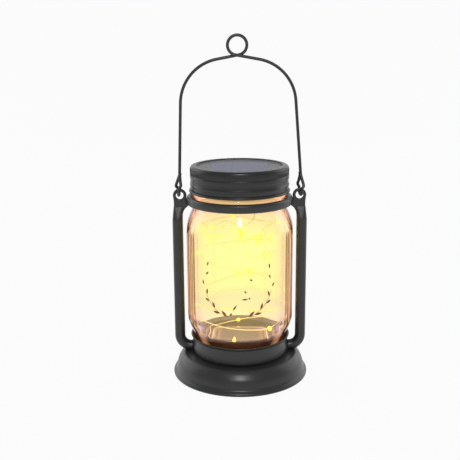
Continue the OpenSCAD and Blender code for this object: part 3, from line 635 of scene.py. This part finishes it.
def make_jar():
    """The jar with its flutes, and with the tint of its glass, its painted light and its painted shade written on
    the mesh.
    """
    bm = lathe(jar_skin(), 256, closed=False)
    wall_spots = [Vector((spot.x, spot.y, 0)).normalized() * JAR_INNER_R * MM + Vector((0, 0, spot.z))
                  for spot in LIGHT_SPOTS]
    glow = bm.verts.layers.float_color.new("painted_lamp_glow")
    tint = bm.verts.layers.float_color.new("tint_with_painted_light_and_shade")
    heel = bm.verts.layers.float.new("heel_shade")
    skin = bm.verts.layers.float.new("outer_skin")
    spread = 3.6 * MM
    wall_r = 38.6
    for v in bm.verts:
        radius = math.hypot(v.co.x, v.co.y) / MM
        height = v.co.z / MM
        bearing = math.degrees(math.atan2(v.co.y, v.co.x))
        outer = radius > wall_r or height < 26 or (height < 42 and radius > 30.5 + (height - 27) * 0.55)
        outer = outer or (height > 107 and radius > jar_middle(height))
        lit = sum(math.exp(-((v.co - spot).length / spread) ** 2) for spot in wall_spots)
        near = 0 if outer else min(1, lit)
        low = held((57 - height) / 11)
        colour = blend((1.0, 0.98, 0.60), (0.93, 0.84, 0.70), low)
        colour = blend(colour, (1.0, 0.80, 0.70), held((height - 109) / 21, 0.85) ** 1.3)
        # Painted light: the inner skin turns a deeper yellow near the lights.
        colour = blend(colour, (1.0, 0.95, 0.26), near * (1 - low))
        if outer:
            wave, end_line_shade = flute(bearing, height) if radius > wall_r else (0, 0)
            gentle = held((FLUTES_END - from_side(bearing)) / 24)
            # Painted shade: the flutes tint pinker along their hollows, and the front flutes' end line shows dark
            # brown.
            colour = blend(colour, (0.86, 0.60, 0.50), 0.5 * wave * gentle)
            colour = blend(colour, (0.40, 0.15, 0.05), 0.9 * end_line_shade)
            v[glow] = (0, 0, 0, 1)
            v[skin] = 1
            v[heel] = held((38 - height) / 2)
            v.co.xy *= 1 - 0.6 * wave / max(radius, 1)
        else:
            v[glow] = (*inner_glow(radius, height, near), 1)
        v[tint] = (*colour, 1)
    place(mesh_of(bm, "amber_jar"), "amber_jar", "lantern_frame", JAR_GLASS,
          ("glass_jar",), sharp=60)


# Laurel pressed into the jar's front: two sprigs of small leaves
LAUREL_R, LAUREL_HALF_HEIGHT, LAUREL_Z = 25.5, 24.5, 79.0


def leaf_glass():
    """Deep amber, with painted shade where a leaf's edge turns away."""
    material, tree, shader = new_material("deep_amber_relief")
    tint = mixed(tree, facing_share(tree, 0.5), (0.42, 0.13, 0.02), (0.12, 0.03, 0.006))
    link(tree, tint, shader.inputs["Base Color"])
    shader.inputs["Transmission Weight"].default_value = 0.3
    shader.inputs["Specular IOR Level"].default_value = 0.2
    shader.inputs["Roughness"].default_value = 0.4
    shader.inputs["IOR"].default_value = 1.45
    return material


def on_jar_front(across, up, proud):
    """Place on the jar's front, with across and up in millimetres over its skin."""
    bearing = -math.pi / 2 + across / 39.3
    return Matrix.Rotation(bearing, 4, "Z") @ Matrix.Translation(((JAR_R + proud) * MM, 0, up * MM))


def sprig(side, angle, reach):
    """Point of a sprig's arc on the jar's front, at an angle from its middle height."""
    across = side * LAUREL_R * math.cos(angle) * reach - 2.0
    return across, LAUREL_Z + LAUREL_HALF_HEIGHT * math.sin(angle) * reach


def add_leaf(bm, across, up, heading, length, width):
    """One slim leaf lying on the jar's front, pointing along its heading."""
    size = Matrix.Diagonal((0.42, length, width, 1))
    shape = on_jar_front(across, up, 0) @ Matrix.Rotation(heading, 4, "X") @ size
    leaf = bmesh.ops.create_icosphere(bm, subdivisions=3, radius=MM, matrix=Matrix.Identity(4))
    for v in leaf["verts"]:
        slim = 1 - 0.8 * abs(v.co.y / MM) ** 2
        v.co.x *= slim
        v.co.z *= slim
    bmesh.ops.transform(bm, matrix=shape, verts=leaf["verts"])


def make_laurel():
    """Two open sprigs with leaves on alternate sides of each stem, the lowest the longest, and a tie."""
    leaf_material = leaf_glass()
    bm = bmesh.new()
    chance = random.Random(11)
    lowest, highest = -66, 42
    for side in (-1, 1):
        angle = lowest
        row = -1
        while angle < highest:
            a = math.radians(angle)
            low = max(0, -angle) / -lowest
            across, up = sprig(side, a, 1 + 0.05 * row)
            heading = a + math.pi / 2 - row * math.radians(chance.uniform(14, 34))
            lean = math.atan2(math.sin(heading) * LAUREL_HALF_HEIGHT, side * math.cos(heading) * LAUREL_R)
            add_leaf(bm, across, up, lean, chance.uniform(1.5, 2.1) + 1.2 * low, 0.62 + 0.3 * low)
            angle += chance.uniform(9, 12) + 6 * (1 - low)
            row = -row
    for across, up, heading, length in (
            (3.0, 68.6, 0.05, 2.3), (6.2, 69.2, 1.0, 0.9), (-4.2, 62.4, 0.95, 2.6),
            (-7.0, 57.4, 0.8, 1.4), (7.4, 82.6, -0.6, 1.3), (3.4, 74.0, -0.7, 1.1)):
        add_leaf(bm, across, up, heading, length, 0.62)
    place(mesh_of(bm, "pressed_laurel"), "pressed_laurel", "lantern_frame", leaf_material,
          sharp=180)
    for side, name in ((-1, "left_stem"), (1, "right_stem")):
        line = [on_jar_front(*sprig(side, math.radians(a), 1), 0.02).translation for a in range(-74, -10, 4)]
        stem = wire_curve("laurel_" + name, line, 0.14 * MM, 2)
        stem.data.materials.append(leaf_material)
        bpy.context.collection.objects.link(stem)
        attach(stem, "lantern_frame")


# Solar cell and the clear window over it
def cell_finish():
    """Dark blue-violet cell with fine silver fingers and three bus bars."""
    material, tree, shader = new_material("violet_solar_cell")
    coord = node(tree, "ShaderNodeTexCoord")
    split = node(tree, "ShaderNodeSeparateXYZ")
    link(tree, coord.outputs["Object"], split.inputs[0])

    def stripes(axis, pitch, half_width):
        from_line = reckoned(tree, "PINGPONG", split.outputs[axis], pitch * MM / 2)
        return reckoned(tree, "LESS_THAN", from_line, half_width * MM)

    silver = reckoned(tree, "MAXIMUM", stripes("X", 2.1, 0.07), stripes("Y", 14.0, 0.45))
    blue = mixed(tree, noise(tree, coord, 160), (0.065, 0.070, 0.17), (0.11, 0.112, 0.25))
    link(tree, mixed(tree, silver, blue, (0.20, 0.21, 0.27)), shader.inputs["Base Color"])
    shader.inputs["Roughness"].default_value = 0.5
    shader.inputs["Specular IOR Level"].default_value = 0.08
    return material


def window_finish():
    """Clear plastic with a faint haze."""
    material, tree, shader = new_material("clear_window")
    dull = node(tree, "ShaderNodeMapRange")
    dull.inputs["To Min"].default_value = 0.05
    dull.inputs["To Max"].default_value = 0.11
    link(tree, noise(tree, node(tree, "ShaderNodeTexCoord"), 90), dull.inputs["Value"])
    link(tree, dull.outputs["Result"], shader.inputs["Roughness"])
    shader.inputs["Base Color"].default_value = (0.8, 0.82, 0.85, 1)
    shader.inputs["Alpha"].default_value = 0.12
    return material


def make_window():
    """Clear disc with an eased rim, a hair above the cell that it covers."""
    low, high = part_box("solar_window")
    outer, base, top = (high[0] - low[0]) / 2 / MM, low[2] / MM + 0.06, high[2] / MM
    outline = [(0, base, 0), (outer - 0.1, base, 0), (outer, base + 0.1, 0), (outer, top, 0.12),
               (outer - 0.4, top, 0.1), (0, top, 0)]
    bm = lathe(rounded(outline, 3), 128, closed=False)
    place(mesh_of(bm, "clear_lid_window"), "clear_lid_window", "solar_lid", window_finish(),
          ("solar_window",), sharp=30)


def paint_inner_pieces():
    """The solids that stay as they are each get their own finish."""
    for name, material in (
            ("cup_rivet", FRAME_PAINT), ("lid_seal", SEAL_RUBBER), ("solar_housing", BLACK_PLASTIC),
            ("solar_cell", cell_finish()), ("bottom_cover", BLACK_PLASTIC),
            ("cover_screws", PLAIN_STEEL), ("circuit_board", BOARD_GREEN), ("board_parts", CHIP_BLACK),
            ("panel_leads", LEAD_RED), ("switch_body", PLAIN_STEEL), ("switch_knob", KNOB_WHITE),
            ("battery", BATTERY_WRAP), ("battery_contacts", PLAIN_STEEL), ("battery_spring", PLAIN_STEEL),
            ("wire_grommet", GROMMET_RUBBER)):
        for place_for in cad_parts[name].material_slots:
            place_for.material = material


# Studio
def white_to_the_eye(name, shade):
    """A card that looks white to the camera and in reflections, and lights the lantern as plain pale card.

    The shade is the share of its own shading that the camera still sees.
    """
    material, tree, card = new_material(name)
    card.inputs["Base Color"].default_value = (0.82, 0.82, 0.82, 1)
    card.inputs["Roughness"].default_value = 0.9
    glow = node(tree, "ShaderNodeEmission")
    glow.inputs["Strength"].default_value = 1.0
    path = node(tree, "ShaderNodeLightPath")
    mirrored = reckoned(tree, "MAXIMUM", path.outputs["Is Camera Ray"], path.outputs["Is Glossy Ray"])
    seen = reckoned(tree, "MAXIMUM", mirrored, path.outputs["Is Transmission Ray"])
    keep = reckoned(tree, "MULTIPLY", seen, 1 - shade)
    either_shader(tree, keep, card.outputs["BSDF"], glow.outputs["Emission"], "Material Output")
    return material


def make_floor():
    """Floor and backdrop in one sweep, with a wide round between them."""
    material = white_to_the_eye("pale_sweep", 0.07)
    bm = bmesh.new()
    bmesh.ops.create_grid(bm, x_segments=1, y_segments=1, size=2.2)
    rear = max(bm.edges, key=lambda e: e.verts[0].co.y + e.verts[1].co.y)
    wall = bmesh.ops.extrude_edge_only(bm, edges=[rear])
    wall_top = [v for v in wall["geom"] if isinstance(v, bmesh.types.BMVert)]
    bmesh.ops.translate(bm, vec=(0, 0, 2.6), verts=wall_top)
    bmesh.ops.bevel(bm, geom=[rear], offset=0.7, offset_type="OFFSET", segments=12, profile=0.5,
                    affect="EDGES", material=-1)
    mesh = mesh_of(bm, "sweep")
    mesh.materials.append(material)
    for face in mesh.polygons:
        face.use_smooth = True
    sweep = bpy.data.objects.new("sweep", mesh)
    bpy.context.collection.objects.link(sweep)


def make_world():
    """Soft white light all round, and plain white wherever the camera sees past the sweep."""
    world = bpy.data.worlds.new("studio")
    bpy.context.scene.world = world
    world.use_nodes = True
    tree = world.node_tree
    soft = tree.nodes["Background"]
    soft.inputs["Color"].default_value = (1, 1, 1, 1)
    soft.inputs["Strength"].default_value = 0.42
    white = node(tree, "ShaderNodeBackground")
    white.inputs["Strength"].default_value = 1.0
    path = node(tree, "ShaderNodeLightPath")
    seen = reckoned(tree, "MAXIMUM", path.outputs["Is Camera Ray"], path.outputs["Is Transmission Ray"])
    either_shader(tree, seen, soft.outputs["Background"], white.outputs["Background"], "World Output")


def soft_box(name, spot, aim_height, width, height, power):
    """Rectangular lamp at a spot, turned toward the lantern's axis at a height."""
    data = bpy.data.lights.new(name, "AREA")
    data.shape = "RECTANGLE"
    data.size, data.size_y = width, height
    data.energy = power
    lamp = bpy.data.objects.new(name, data)
    lamp.location = spot
    lamp.rotation_mode = "QUATERNION"
    lamp.rotation_quaternion = (Vector((0, 0, aim_height)) - Vector(spot)).to_track_quat("-Z", "Y")
    bpy.context.collection.objects.link(lamp)


make_foot()
make_cup()
make_neck_ring()
make_upright("left")
make_upright("right")
make_bail()
make_band()
make_window()
make_jar()
make_laurel()
paint_inner_pieces()
make_floor()
make_world()
soft_box("front_box", (0, -1.27, 0.92), 0.08, 0.15, 0.27, 6.4)
soft_box("left_box", (-1.6, 0.9, 0.7), 0.12, 1.6, 1.6, 9)
soft_box("right_box", (1.6, 0.9, 0.7), 0.12, 1.6, 1.6, 9)
bpy.context.scene.view_settings.view_transform = "Standard"
